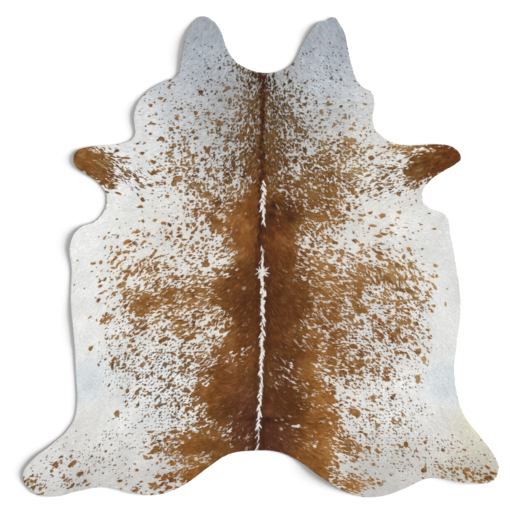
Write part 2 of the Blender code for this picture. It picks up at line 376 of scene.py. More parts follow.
# the pale hair is set darker and bluer grey at the neck and its lobes than on the flanks
PALE_HAIR = [
    ("slate", (168, 175, 183), [
        (205, 30, 30, 0.98), (208, 62, 30, 1.08), (333, 40, 30, 1.0), (328, 80, 30, 1.13),
    ]),
    ("mist", (196, 200, 204), [(175, 105, 35, 0.99)]),
    ("pearl", (200, 201, 200), [
        (258, 90, 32, 0.84), (290, 98, 20, 0.94), (232, 130, 34, 0.87), (312, 128, 26, 0.89),
        (222, 172, 24, 1.02), (160, 150, 32, 1.08), (188, 164, 20, 1.08), (203, 140, 14, 0.93),
        (331, 116, 15, 0.89), (226, 92, 12, 0.8), (209, 118, 14, 0.89), (142, 128, 20, 1.12),
        (350, 120, 35, 1.01), (118, 168, 35, 1.14), (90, 240, 40, 1.15), (440, 235, 40, 1.12),
        (84, 310, 35, 1.16), (447, 310, 35, 1.14), (152, 388, 34, 1.12), (118, 422, 34, 1.15),
        (412, 402, 30, 1.16), (66, 466, 24, 1.07),
    ]),
    ("milk", (220, 218, 214), [
        (286, 132, 26, 0.86), (248, 147, 16, 0.85), (262, 175, 36, 0.88), (222, 197, 22, 1.0),
        (372, 140, 24, 0.99), (320, 168, 28, 0.98), (345, 178, 24, 0.97), (400, 180, 35, 1.01),
        (416, 146, 14, 1.06), (160, 240, 45, 1.0), (370, 230, 45, 0.99), (150, 305, 45, 1.02),
        (130, 268, 22, 1.07), (364, 322, 28, 0.96), (408, 284, 28, 1.06), (400, 345, 28, 1.02),
        (348, 404, 30, 1.0), (90, 448, 40, 1.0), (88, 489, 26, 0.86), (432, 440, 30, 1.0),
        (150, 480, 35, 0.93), (400, 480, 35, 0.9),
    ]),
    ("ice", (212, 220, 224), [(90, 385, 16, 1.01), (444, 384, 16, 0.98)]),
    ("cream", (218, 216, 198), [(472, 430, 18, 1.0)]),
    ("buff", (200, 196, 184), [(480, 470, 22, 0.98), (450, 466, 18, 1.01)]),
]
BROWN_HAIR = [
    ("dun", (126, 92, 58), [
        (262, 80, 22, 0.72), (290, 122, 18, 0.74), (250, 112, 18, 0.88), (222, 160, 22, 0.96),
        (282, 147, 14, 1.06), (300, 150, 30, 0.9), (180, 130, 40, 1.03), (340, 120, 40, 1.02),
        (338, 162, 26, 1.13), (138, 187, 16, 0.89), (394, 182, 18, 1.01), (262, 380, 12, 0.88),
        (146, 400, 42, 0.98), (60, 475, 40, 1.02),
    ]),
    ("roan", (102, 82, 63), [
        (236, 102, 20, 1.28), (220, 84, 18, 1.02), (295, 100, 22, 0.97), (237, 154, 13, 0.97),
    ]),
    ("copper", (142, 94, 48), [
        (262, 145, 26, 0.76), (302, 172, 14, 0.82), (322, 192, 30, 0.91), (88, 158, 24, 0.93),
        (110, 176, 18, 0.86), (304, 226, 10, 0.92), (314, 322, 14, 1.0), (322, 400, 26, 1.08),
        (206, 246, 14, 0.91), (150, 305, 20, 1.04), (190, 320, 40, 0.99), (325, 270, 26, 1.05),
        (390, 340, 40, 1.0), (352, 350, 22, 0.93), (368, 370, 22, 0.9), (211, 437, 22, 1.01),
        (175, 450, 28, 1.03), (215, 458, 20, 0.77), (320, 468, 22, 0.97), (358, 487, 18, 1.1),
        (486, 479, 10, 0.93),
    ]),
    ("bay", (96, 56, 28), [
        (248, 146, 12, 1.03), (285, 214, 20, 0.91), (285, 240, 26, 1.17), (234, 288, 20, 1.05),
        (288, 276, 22, 1.02), (240, 302, 12, 0.93), (286, 300, 20, 0.88), (250, 320, 26, 1.08),
        (286, 330, 22, 0.95), (284, 362, 12, 0.86), (288, 404, 22, 0.86),
    ]),
    ("golden", (150, 105, 60), [
        (178, 174, 24, 0.96), (205, 190, 30, 0.87), (212, 240, 22, 0.97), (210, 275, 18, 0.93),
        (172, 248, 24, 0.89), (140, 232, 26, 1.08), (130, 280, 45, 1.01), (107, 319, 14, 1.12),
        (212, 335, 18, 1.0), (322, 235, 20, 1.07), (382, 228, 26, 1.05), (386, 284, 45, 1.03),
        (390, 420, 50, 1.0), (465, 470, 35, 0.97),
    ]),
    ("straw", (180, 146, 101), [(352, 140, 24, 1.0), (400, 146, 16, 0.99), (416, 278, 26, 0.98)]),
    ("chestnut", (130, 81, 40), [
        (262, 190, 30, 0.92), (412, 172, 16, 0.84), (240, 222, 26, 1.01), (230, 365, 28, 0.91),
        (205, 400, 22, 1.01), (182, 390, 22, 0.93), (325, 332, 28, 1.01), (322, 440, 26, 1.09),
        (352, 448, 20, 0.99), (180, 480, 24, 1.0), (342, 485, 13, 0.96),
    ]),
    ("rust", (104, 58, 14), [(442, 158, 26, 1.0), (424, 163, 14, 0.98)]),
    ("liver", (84, 49, 36), [(250, 400, 24, 1.17), (245, 432, 24, 0.98), (278, 438, 20, 0.97)]),
    ("fawn", (168, 124, 75), [(424, 360, 20, 0.99), (352, 462, 18, 1.0)]),
]

# Spots of the speckled coat: spacing, half width and half length in millimetres, weight on the
# flanks, weight near the neck, and tone, where negative is dark and grey
SPOT_SIZES = [
    ("coarse", 27.0, 6.0, 10.8, 0.26, 0.08, 0.4), ("middle", 17.0, 3.9, 7.5, 0.4, 0.46, 0.1),
    ("fine", 12.5, 2.8, 5.0, 0.34, 0.46, -1.1),
]
FLECK_SIZES = [
    ("coarse", 24.0, 4.6, 8.5, 0.5, 0.12, 0.0), ("middle", 16.0, 2.6, 7.5, 0.32, 0.45, 0.0),
    ("fine", 11.0, 1.5, 5.5, 0.18, 0.43, 0.0),
]
SPECK_SIZES = [("speck", 14.0, 2.4, 3.4, 1.0, 1.0, -1.8)]


def palette(table):
    """A smooth field of a table's colours around their places, each channel 0 to 1."""
    colours = np.zeros(COARSE_X.shape + (3,))
    total = np.zeros(COARSE_X.shape + (1,))
    for _name, colour, places in table:
        for column, row, reach, lightness in places:
            distance_squared = (COARSE_COLUMN - column) ** 2 + (COARSE_ROW - row) ** 2
            weight = (np.exp(-distance_squared / (2.0 * (0.7 * reach) ** 2)) + 1e-6)[..., None]
            colours += weight * lightness * np.array(colour) / 255.0
            total += weight
    return enlarge(colours / total)


# ---- Marks along the spine ----

SPINE_COLUMN = 262.0  # about which the fields that differ near the spine are even
SPINE_WANDER = 0.9  # pixels that the spine's lines waver by


def strokes(rows):
    """Short pointed strokes, each row a column, row, degrees, length and half width in pixels."""
    field = np.zeros((RASTER_COUNT, RASTER_COUNT))
    for column, row, degrees, length, half_width in rows:
        reach = int(np.ceil((length + 2.0) * CELLS_PER_PX))
        window = window_around(*from_photo(column, row), reach)
        along, across = turned(COLUMN[window] - column, row - ROW[window], np.radians(degrees))
        along = along / length
        width = half_width * np.clip(1.0 - along, 0.0, 1.0) ** 0.5
        inside = smoothstep(0.4, -0.2, np.abs(across) - width) * smoothstep(-0.15, 0.05, along)
        inside *= smoothstep(1.05, 0.9, along)
        field[window] = np.maximum(field[window], inside)
    return field


def soft_line(offset, half_width):
    """1 on a line and fading to 0 beside it, from how far off the line each place lies."""
    return np.exp(-(offset / half_width) ** 2)


def dark_line():
    """The dark line over the neck and beside the white line, 0 to 1: dark hair with painted shade where the
    hair of both sides parts at the spine.
    """
    wander = noise(5.0)[:, RASTER_COUNT // 2][:, None]
    loose = COLUMN - np.interp(ROW, *np.array(SPINE).T) - SPINE_WANDER * wander
    broken = np.clip(0.90 + 0.18 * noise(6.0), 0.35, 1.0)
    neck = soft_line(loose, 2.9 + 1.6 * smoothstep(108.0, 84.0, ROW))
    neck = neck * smoothstep(196.0, 176.0, ROW) * broken
    beside = soft_line(loose + 3.0, 1.7) * smoothstep(176.0, 184.0, ROW)
    beside = beside * smoothstep(250.0, 236.0, ROW) * broken
    joint = 0.55 * soft_line(loose + 1.5, 3.6) * smoothstep(216.0, 226.0, ROW)
    joint = joint * smoothstep(256.0, 244.0, ROW)
    # painted shade along both sides of the white line, where the hair parts at the spine
    sides = 0.42 * soft_line(np.abs(loose) - 4.2, 3.2) * smoothstep(240.0, 262.0, ROW)
    return np.maximum(np.maximum(neck, beside), np.maximum(joint, sides))


def white_line():
    """The jagged white line along the spine and its star, made of slanting strokes, 0 to 1."""
    rows = []
    for start, end, half_width in WHITE_RUNS:
        row = start
        side = 1.0
        while row < end:
            column = np.interp(row, *np.array(SPINE).T) + random.normal(0.0, 0.6)
            side = -side if random.uniform() < 0.6 else side
            degrees = -90.0 + side * random.uniform(0.0, 42.0)
            length = random.uniform(2.5, 7.0)
            rows.append((column, row, degrees, length, half_width * random.uniform(0.4, 1.25)))
            row += random.uniform(0.9, 2.9)
    for degrees, length, half_width in STAR_ARMS:
        column = STAR[0] + random.normal(0.0, 0.8)
        row = STAR[1] + random.normal(0.0, 1.2)
        rows.append((column, row, degrees + random.uniform(-7, 7), length, half_width))
    return np.clip(strokes(rows), 0.0, 1.0)


# ---- Spots ----

SPOT_JITTER = 0.35  # how far a spot lies from its place in the grid, in spacings
SIZE_SPREAD = 0.26  # how much the spots differ in size
LENGTH_SPREAD = 0.18  # how much they differ in length for their width
TURN_SPREAD = 0.22  # radians that they turn off the hair's lay
TONE_SPREAD = 0.9  # how much they differ in tone
FAR_OUTSIDE = -9.0  # mm, the depth of a place that no spot is near

# How much rounder the spots are near the neck, and longer beside the front legs
ROUNDNESS = smoothstep(262.0, 212.0, ROW) * np.exp(-((COLUMN - SPINE_COLUMN) / 115.0) ** 4)
ROUNDNESS -= 1.6 * shares(DASHES)


def scattered(spacing, jitter):
    """Places on a square grid over the raster, each moved at random by a share of the spacing."""
    steps = np.arange(-RASTER_HALF, RASTER_HALF, spacing)
    x, y = np.meshgrid(steps, steps)
    x = x.ravel() + random.uniform(-jitter, jitter, x.size) * spacing
    y = y.ravel() + random.uniform(-jitter, jitter, y.size) * spacing
    return x, y


def lay_spot(depth, tone, warp, x, y, angle, half_width, half_length, shade):
    """Draw one ragged ellipse into the depth and tone fields."""
    reach = int(np.ceil((max(half_width, half_length) + 3.0) / RASTER_STEP))
    window = window_around(x, y, reach)
    along, across = turned(warp[0][window] - x, warp[1][window] - y, angle)
    away = np.sqrt((along / half_length) ** 2 + (across / half_width) ** 2)
    inside = (1.0 - away) * half_width
    deeper = inside > depth[window]
    depth[window][deeper] = inside[deeper]
    tone[window][deeper] = shade


def spread_spots(share, fineness, lay, warp, sizes):
    """Scatter spots to cover a share of the coat. Gives depth in millimetres, and each spot's tone."""
    depth = np.full(share.shape, FAR_OUTSIDE)
    tone = np.zeros(share.shape)
    for _name, spacing, half_width, half_length, flank_weight, neck_weight, layer_tone in sizes:
        full = np.pi * half_width * half_length / spacing ** 2  # share when no place is left empty
        x, y = scattered(spacing, SPOT_JITTER)
        fine = sample(fineness, x, y)
        weight = flank_weight + (neck_weight - flank_weight) * fine
        wanted = 1.0 - (1.0 - np.clip(sample(share, x, y), 0.0, 0.97)) ** weight
        kept = random.uniform(0.0, 1.0, x.size) < wanted / full
        grown = np.sqrt(np.maximum(wanted / full, 1.0))
        scale = grown * np.exp(random.normal(0.0, SIZE_SPREAD, x.size)) * (1.0 - 0.10 * fine)
        along = sample(lay, x, y)
        angle = np.arctan2(along[:, 1], along[:, 0]) + random.normal(0.0, TURN_SPREAD, x.size)
        crowd = smoothstep(0.35, 0.75, sample(share, x, y))
        longer = np.exp(random.normal(0.0, LENGTH_SPREAD, x.size)) * (1.0 + 0.20 * crowd)
        longer *= 1.0 - 0.26 * sample(ROUNDNESS, x, y)
        shade = layer_tone + random.normal(0.0, TONE_SPREAD, x.size)
        columns = [x, y, angle, half_width * scale / longer, half_length * scale * longer, shade]
        for row in np.stack(columns, -1)[kept]:
            lay_spot(depth, tone, warp, *row)
    return depth, tone


# ---- Coat colour ----

STREAK_REACH = 11.0  # mm that a streak is drawn out along the hair each way
STREAK_STEPS = 4
BAND_WAVER = 2.0  # pixels that the band's edge wavers by
BAND_EDGE = (-11.0, 12.0)  # pixels inside the band's edge where it starts and is complete
BAND_SHARE = 0.99  # share of brown in the band
CLOSING_SHARE = 0.70  # share of brown at which the spots run together
ROAN = 0.03  # share of pale hairs in a brown spot that stands alone
ROAN_REACH = 15.0  # mm around it without brown that make it stand alone
CRISPNESS = 0.20  # how far the spots stand out against the hair next to them
CRISP_REACH = 3.6  # mm
TINGE = np.array([0.00, 0.07, 0.16])  # what brown hair nearby takes off the pale hair's channels
TINGE_REACH = 4.5  # mm
LIGHTENING = np.array([1.0, 1.06, 1.50])  # the powers by which a lighter brown's channels change
REDDISH = np.array([1.02, 0.97, 0.90])  # the brown's hue wavers between this and golden
GOLDEN = np.array([1.00, 1.045, 0.97])
PLAIN_FLANKS = (96.0, 436.0)  # columns past which the flanks have no specks
DARK_LINE_COVER = 0.88
WHITE_LINE_COVER = 0.96
SPECK_COVER = 0.9

# Grain of three sizes, streaks of two widths along the hair, large patches, how crowded the spots
# are, and the raster's places, moved a little so that what is drawn on them comes out ragged
Grain = namedtuple("Grain", "fine middle broad thin_streaks streaks patchy crowding warp")

# The solid band, how fine the spots are, where the hair is brown and where deep inside the brown,
# each 0 to 1, and the tone of the spots
Pattern = namedtuple("Pattern", "band fineness brown heart tone")


def hair_grain(lay):
    """Noise of several sizes, which roughens the pattern's edges and tones."""
    fine = noise(1.6)
    middle = noise(3.4)
    broad = noise(9.0)
    streaks = drawn_out(np.stack([noise(1.6), noise(3.0)], -1), lay, STREAK_REACH, STREAK_STEPS)
    patchy = noise(26.0)
    crowding = np.clip(np.exp(0.42 * noise(11.0) + 0.34 * noise(30.0) - 0.12), 0.25, 2.4)
    warp = [place + 0.5 * noise(2.4) + 1.3 * noise(5.5) for place in (RASTER_X, RASTER_Y)]
    return Grain(fine, middle, broad, streaks[..., 0], streaks[..., 1], patchy, crowding, warp)


def brown_shares(grain):
    """The solid band, the share of brown, and how fine its spots are, each 0 to 1."""
    rows, left, right = np.array(BAND).T
    ragged_row = ROW + BAND_WAVER * grain.broad
    left = np.interp(ragged_row, rows, left)
    right = np.interp(ragged_row, rows, right)
    band = smoothstep(*BAND_EDGE, np.minimum(COLUMN - left, right - COLUMN))
    share = 1.0 - (1.0 - BAND_SHARE * band) * (1.0 - overlaid(PATCHES))
    share *= 1.0 - overlaid(FLECKS)
    fineness = smoothstep(235.0, 120.0, ROW) * np.exp(-((COLUMN - SPINE_COLUMN) / 110.0) ** 2)
    return band, share, np.maximum(fineness, 0.8 * shares(DASHES))


def closed_brown(share, fineness, grain):
    """1 where the brown is closed, 0 where it stays in loose spots."""
    ragged = 0.10 * grain.broad + 0.05 * grain.streaks + 0.02 * grain.thin_streaks
    ragged = np.maximum(ragged, -0.24)
    return smoothstep(-0.02, 0.05, share + ragged - CLOSING_SHARE - 0.12 * fineness)


def loose_spots(share, fineness, closed, lay, grain):
    """Depth inside the brown spots in millimetres, and each spot's tone."""
    crowded = 1.0 - (1.0 - share) ** 1.15
    crowded *= (1.0 - 0.6 * closed) * (grain.crowding * (1.0 - share) + share)
    depth, tone = spread_spots(crowded, fineness, lay, grain.warp, SPOT_SIZES)
    for column, row, half_length, half_width, degrees, shade in SPOTS:
        x, y = from_photo(column, row)
        half_width = half_width * PHOTO_MM_PER_PX
        half_length = half_length * PHOTO_MM_PER_PX
        lay_spot(depth, tone, grain.warp, x, y, np.radians(degrees), half_width, half_length, shade)
    return depth, tone


def pale_flecks(band, share, fineness, closed, lay, grain):
    """Depth inside the pale flecks of the closed brown, in millimetres."""
    bare = np.clip(1.1 * (0.98 - share) + 0.065 * (fineness - 0.12), 0.004 * band, 0.5)
    inside = np.maximum(fineness, smoothstep(0.70, 0.88, share))
    return spread_spots(bare * closed * grain.crowding, inside, lay, grain.warp, FLECK_SIZES)[0]


def brown_pattern(lay, grain):
    """Where the hair is brown, and the fields that its colour follows."""
    band, share, fineness = brown_shares(grain)
    closed = closed_brown(share, fineness, grain)
    spots, tone = loose_spots(share, fineness, closed, lay, grain)
    flecks = pale_flecks(band, share, fineness, closed, lay, grain)
    loose = smoothstep(-1.0, 1.1, spots / (1.05 - 0.45 * fineness))
    fleck_cover = 0.50 + 0.35 * smoothstep(0.95, 0.75, share)
    brown = np.maximum(loose, closed) * (1.0 - smoothstep(-0.5, 0.6, flecks) * closed * fleck_cover)
    heart = np.maximum(smoothstep(0.0, 3.0, spots), closed * smoothstep(0.5, -4.0, flecks))
    calm = np.maximum(closed, smoothstep(0.35, 0.75, share))
    tone = np.clip(tone - 0.3 * fineness, -2.0, 1.1) * (1.0 - band)
    tone = tone * (1.0 - 0.80 * calm * (1.0 - 0.6 * fineness))
    return Pattern(band, fineness, brown, heart, tone)


def edge_fade():
    """1 over the body, 0 over the plain flanks and the neck lobes' tips."""
    inner = np.minimum(COLUMN - PLAIN_FLANKS[0], PLAIN_FLANKS[1] - COLUMN)
    flank = smoothstep(0.0, 14.0, inner)
    legs = smoothstep(425.0, 445.0, ROW) + smoothstep(205.0, 190.0, ROW)
    return np.clip(flank + legs, 0.0, 1.0) * smoothstep(24.0, 60.0, ROW)


def dark_specks(fineness, lay, grain):
    """Small specks in the pale hair, most of them near the neck, 0 to 1."""
    share = (0.01 + 0.03 * fineness + shares(SPECKS)) * edge_fade() * np.sqrt(grain.crowding)
    depth = spread_spots(share, fineness, lay, grain.warp, SPECK_SIZES)[0]
    return smoothstep(-0.4, 0.5, depth)


def brown_hair(pattern, grain, base):
    """The brown hair's colour, and how much lighter than its own brown it is."""
    tone = pattern.tone
    shade = 0.97 + 0.03 * pattern.heart + 0.045 * grain.thin_streaks + 0.025 * grain.streaks
    shade += ((0.10 + 0.05 * pattern.fineness) * tone + 0.04 * grain.patchy
              + 0.035 * grain.broad + 0.03 * grain.middle)
    shade *= 1.0 + shares(SHADES) * (1.0 + 0.45 * grain.broad)
    lighter = (np.maximum(shade - 1.0, 0.0) * (1.0 - 0.85 * pattern.band))[..., None]
    colour = base * (shade[..., None] - lighter) ** LIGHTENING
    warm = (0.5 + 0.10 * grain.streaks + 0.16 * grain.patchy
            + (0.16 + 0.20 * pattern.fineness) * grain.broad + 0.15 * tone)
    colour = blend(colour * REDDISH, colour * GOLDEN, np.clip(warm, 0.0, 1.0)[..., None])
    dull = np.clip(-0.12 * tone, 0.0, 0.2)[..., None]
    return blend(colour, colour.mean(-1, keepdims=True), dull), lighter


def pale_hair(pattern, grain):
    """The pale hair's colour."""
    shade = (1.0 + 0.010 * grain.fine + (0.010 + 0.025 * pattern.fineness) * grain.thin_streaks
             + 0.010 * grain.patchy)
    return palette(PALE_HAIR) * shade[..., None]


def coat_colour(lay):
    """The coat's colour at each raster place, each channel 0 to 1."""
    grain = hair_grain(lay)
    pattern = brown_pattern(lay, grain)
    fineness = pattern.fineness
    speck = dark_specks(fineness, lay, grain)[..., None] * SPECK_COVER
    dark = dark_line()
    white = white_line()[..., None] * WHITE_LINE_COVER
    base = palette(BROWN_HAIR)
    brown, lighter = brown_hair(pattern, grain, base)
    pale = pale_hair(pattern, grain)

    # stray pale hairs in the brown, and hair next to the brown that is tinged with it
    stray = smoothstep(1.1, 2.1, grain.thin_streaks) * (0.06 + 0.24 * fineness)
    stray = (ROAN * (1.0 - blur(pattern.brown, ROAN_REACH)) + stray)[..., None] + 0.9 * lighter
    brown = blend(brown, pale, stray)
    tinge = (blur(pattern.brown, TINGE_REACH) * (1.0 - 0.75 * fineness))[..., None]
    colour = pale * (1.0 - tinge * TINGE)

    colour = blend(colour, pale * 0.12 + base * 0.56 + 0.04, speck)
    colour = blend(colour, brown, pattern.brown[..., None])
    # the dark line along the spine: dark hair with painted shade where the hair parts
    dark = (dark * np.maximum(pattern.brown, 0.75))[..., None] * DARK_LINE_COVER
    colour = blend(colour, np.array(SPINE_HAIR_AND_SHADE) / 255.0, dark)
    colour = blend(colour, np.array(WHITE_HAIR) / 255.0, white)
    soft = np.stack([blur(colour[..., channel], CRISP_REACH) for channel in range(3)], -1)
    return np.clip(colour + CRISPNESS * (colour - soft), 0.02, 0.97)


# ---- The hide's shape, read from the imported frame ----

SKIN_THICKNESS = 2.4  # mm
UNDERCOAT_DEPTH = 2.0  # mm of dense hair that the outer tufts lie on
SHEET_THICKNESS = SKIN_THICKNESS + UNDERCOAT_DEPTH
CAD_THICKNESS = 6.0  # mm, skin and coat together
EDGE_REACH = 60.0  # mm from the cut edge within which distances are worked out
LIFT_SMOOTHING = 14.0  # mm
RELIEF = [(0.25, 18.0), (0.12, 7.0)]  # mm that the hair side swells by, and over how many mm


def cad_triangles():
    """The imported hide's corner points, merged, and its triangles, in millimetres."""
    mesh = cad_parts["hide"].data
    mesh.calc_loop_triangles()
    points = np.empty(len(mesh.vertices) * 3)
    mesh.vertices.foreach_get("co", points)
    triangles = np.empty(len(mesh.loop_triangles) * 3, np.int32)
    mesh.loop_triangles.foreach_get("vertices", triangles)
    points = np.round(points.reshape(-1, 3) / MM, 3)
    merged, index = np.unique(points, axis=0, return_inverse=True)
    return merged, index.reshape(-1)[triangles].reshape(-1, 3)


def face_normals(corners):
    """The cross product of each triangle's first two sides, twice its area long."""
    return np.cross(corners[:, 1] - corners[:, 0], corners[:, 2] - corners[:, 0])


def top_faces(points, triangles):
    """The triangles of the hair side."""
    normals = face_normals(points[triangles])
    normals /= np.linalg.norm(normals, axis=1, keepdims=True) + 1e-12
    return triangles[normals[:, 2] > 0.5]


def outline_loop(points, triangles):
    """The cut edge as one closed run of points, in millimetres."""
    edges = {}
    for a, b, c in triangles.tolist():
        for start, end in ((a, b), (b, c), (c, a)):
            edges[(start, end)] = True
    following = {start: end for start, end in edges if (end, start) not in edges}
    first = next(iter(following))
    run = [first]
    while following[run[-1]] != first:
        run.append(following[run[-1]])
    return points[run][:, :2]


def inside_loop(loop, following):
    """Which raster places lie inside the closed loop."""
    inside = np.zeros((RASTER_COUNT, RASTER_COUNT), bool)
    for j, y in enumerate(RASTER_AXIS):
        crossing = (loop[:, 1] > y) != (following[:, 1] > y)
        start = loop[crossing]
        end = following[crossing]
        x = start[:, 0] + (y - start[:, 1]) / (end[:, 1] - start[:, 1]) * (end[:, 0] - start[:, 0])
        inside[j] = np.searchsorted(np.sort(x), RASTER_AXIS) % 2 == 1
    return inside


def edge_distance(loop):
    """Distance to the cut edge at each raster place, positive inside, at most EDGE_REACH."""
    distance = np.full((RASTER_COUNT, RASTER_COUNT), EDGE_REACH)
    following = np.roll(loop, -1, axis=0)
    for start, end in zip(loop, following):
        low = np.minimum(start, end) - EDGE_REACH
        high = np.maximum(start, end) + EDGE_REACH
        i0, j0 = np.clip(in_cells(low).astype(int), 0, RASTER_COUNT)
        i1, j1 = np.clip(in_cells(high).astype(int) + 1, 0, RASTER_COUNT)
        window = (slice(j0, j1), slice(i0, i1))
        x = RASTER_X[window] - start[0]
        y = RASTER_Y[window] - start[1]
        span = end - start
        share = np.clip((x * span[0] + y * span[1]) / (span @ span + 1e-12), 0.0, 1.0)
        away = np.hypot(x - share * span[0], y - share * span[1])
        distance[window] = np.minimum(distance[window], away)
    return np.where(inside_loop(loop, following), distance, -distance)


def underside_height(points, triangles):
    """Height of the hide's underside over the floor at each raster place, in millimetres."""
    surface = BVHTree.FromPolygons(points.tolist(), triangles.tolist())
    axis = RASTER_AXIS[::COARSE]
    heights = np.empty((len(axis), len(axis)))
    for j, y in enumerate(axis):
        for i, x in enumerate(axis):
            nearest = surface.find_nearest((x, y, 2.0 * CAD_THICKNESS))[0]
            heights[j, i] = nearest.z - CAD_THICKNESS
    return np.clip(blur(enlarge(heights), LIFT_SMOOTHING), 0.0, None)


# ---- Meshes ----

def placed(name, data):
    """An object in the scene."""
    obj = bpy.data.objects.new(name, data)
    bpy.context.scene.collection.objects.link(obj)
    return obj


def mesh_object(name, points, faces):
    """A smooth mesh object from points in millimetres and faces of equal corner counts."""
    mesh = bpy.data.meshes.new(name)
    corners = faces.shape[1]
    mesh.vertices.add(len(points))
    mesh.vertices.foreach_set("co", (points * MM).astype(np.float32).ravel())
    mesh.loops.add(faces.size)
    mesh.loops.foreach_set("vertex_index", faces.astype(np.int32).ravel())
    mesh.polygons.add(len(faces))
    mesh.polygons.foreach_set("loop_start", np.arange(0, faces.size, corners, dtype=np.int32))
    mesh.update(calc_edges=True)
    mesh.polygons.foreach_set("use_smooth", np.ones(len(faces), bool))
    return placed(name, mesh)


def store(mesh, name, kind, part, values):
    """Store a value for each point of a mesh."""
    attribute = mesh.attributes.new(name, kind, "POINT")
    attribute.data.foreach_set(part, values.astype(np.float32).ravel())


def with_alpha(colours):
    """Linear colours as red, green, blue and a full alpha."""
    return np.column_stack([colours, np.ones(len(colours))])


def set_bake_map(mesh, corners_uv):
    """Lay the mesh out for baking, a place for each face corner."""
    layer = mesh.uv_layers.new(name="OFBake")
    layer.data.foreach_set("uv", corners_uv.astype(np.float32).ravel())


# What the studio's light adds to a surface's own colour: shown light = gain * albedo + gloss
LIGHT_GAIN = np.array([1.11, 1.10, 1.10])
LIGHT_GLOSS = np.array([0.000, 0.008, 0.009])


def albedo(shown):
    """The surface colour that is seen as a display colour in the studio's light."""
    shown = np.clip(shown, 0.0, 1.0)
    light = np.where(shown <= 0.04045, shown / 12.92, ((shown + 0.055) / 1.055) ** 2.4)
    return np.clip((light - LIGHT_GLOSS) / LIGHT_GAIN, 0.002, 0.9)


# ---- Skin ----

SKIN_EDGE_SPACING = 7.0  # mm between points along the cut edge
SKIN_CELL = 15.0  # mm between points inside it
SKIN_JITTER = 0.25  # how far those lie from their grid, in cells
EDGE_WAVER = 0.35  # mm that the knife wandered
EDGE_ROUNDING = 0.5  # mm that the cut edge bulges at half its thickness
BAKE_MARGIN = 1.02  # the skin's bake map leaves a little room around each side of the hide


def along_loop(loop, spacing):
    """Points at an even spacing around the closed loop, with their outward directions."""
    closed = np.vstack([loop, loop[:1]])
    lengths = np.hypot(*(closed[1:] - closed[:-1]).T)
    travelled = np.concatenate([[0.0], np.cumsum(lengths)])
    count = int(travelled[-1] / spacing)
    places = np.arange(count) * travelled[-1] / count
    x = np.interp(places, travelled, closed[:, 0])
    y = np.interp(places, travelled, closed[:, 1])
    points = np.stack([x, y], -1)
    ahead = np.roll(points, -1, axis=0) - np.roll(points, 1, axis=0)
    outward = np.stack([ahead[:, 1], -ahead[:, 0]], -1)
    return points, outward / np.linalg.norm(outward, axis=1, keepdims=True)


def skin_places(rim, distance):
    """Triangulate the hide seen from above: its places, its faces and the numbers of its rim."""
    steps = np.arange(-RASTER_HALF, RASTER_HALF, SKIN_CELL)
    x, y = np.meshgrid(steps, steps)
    inner = np.stack([x.ravel(), y.ravel()], -1)
    inner += random.uniform(-SKIN_JITTER, SKIN_JITTER, inner.shape) * SKIN_CELL
    inner = inner[sample(distance, inner[:, 0], inner[:, 1]) > 0.55 * SKIN_EDGE_SPACING]
    flat = [Vector(place) for place in np.vstack([rim, inner]).tolist()]
    count = len(rim)
    ring = [(i, (i + 1) % count) for i in range(count)]
    made = delaunay_2d_cdt(flat, ring, [], 1, 1e-4)
    places = np.array([tuple(place) for place in made[0]])
    faces = np.array(made[2], np.int32)
    origins = {origin: index for index, found in enumerate(made[3]) for origin in found}
    edge = np.array([origins[i] for i in range(count)])

    # the faces look up
    corners = places[faces]
    first = corners[:, 1] - corners[:, 0]
    second = corners[:, 2] - corners[:, 0]
    up = first[:, 0] * second[:, 1] - first[:, 1] * second[:, 0] > 0
    return places, np.where(up[:, None], faces, faces[:, ::-1]), edge


def skin_walls(places, edge):
    """The faces of the cut edge, from the hair side over the bulge to the flesh side."""
    total = len(places)
    count = len(edge)
    a = edge
    b = np.roll(edge, -1)
    m = 2 * total + np.arange(count)
    n = 2 * total + (np.arange(count) + 1) % count
    walls = np.vstack([
        np.column_stack([a, m, b]), np.column_stack([b, m, n]),
        np.column_stack([m, a + total, n]), np.column_stack([n, a + total, b + total]),
    ])
    x, y = places[edge].T
    clockwise = (x * np.roll(y, -1) - y * np.roll(x, -1)).sum() < 0
    return walls[:, ::-1] if clockwise else walls


def skin_bake_map(points, faces, walls, total):
    """Lay the hair side out on the left half of the map, the flesh side and cut edge on the right."""
    half = BAKE_MARGIN * RASTER_HALF
    unit = (points[:, :2] + half) / (2.0 * half)
    unit[:, 0] *= 0.5
    unit[total:, 0] += 0.5
    under = np.where(walls < total, walls + total, walls)
    return unit[np.vstack([faces, under])].reshape(-1, 2)


def build_skin(loop, distance, lift, relief, colour):
    """The dressed skin: a closed sheet with a slightly rounded cut edge."""
    rim, outward = along_loop(loop, SKIN_EDGE_SPACING)
    rim = rim + outward * random.normal(0.0, EDGE_WAVER, (len(rim), 1))
    places, top_side, edge = skin_places(rim, distance)
    total = len(places)
    ground = sample(lift, places[:, 0], places[:, 1])
    ridge = sample(relief, places[:, 0], places[:, 1])
    top = np.column_stack([places, ground + SHEET_THICKNESS + ridge])
    bottom = np.column_stack([places, ground])
    middle = np.column_stack([places[edge] + EDGE_ROUNDING * outward,
                              ground[edge] + SKIN_THICKNESS])
    points = np.vstack([top, bottom, middle])
    sides = np.vstack([top_side, top_side[:, ::-1] + total])
    walls = skin_walls(places, edge)
    skin = mesh_object("skin", points, np.vstack([sides, walls]))

    shown = sample(colour, points[:, 0], points[:, 1])
    # the hair side's colour darkened by ROOT_SHADE: painted shade of the tufts over the skin
    pigment_and_shade = with_alpha(albedo(shown) * ROOT_SHADE)
    store(skin.data, "pigment_and_shade", "FLOAT_COLOR", "color", pigment_and_shade)
    store(skin.data, "hair_side", "FLOAT", "value", np.arange(len(points)) < total)
    set_bake_map(skin.data, skin_bake_map(points, sides, walls, total))
    return skin


# ---- Coat ----

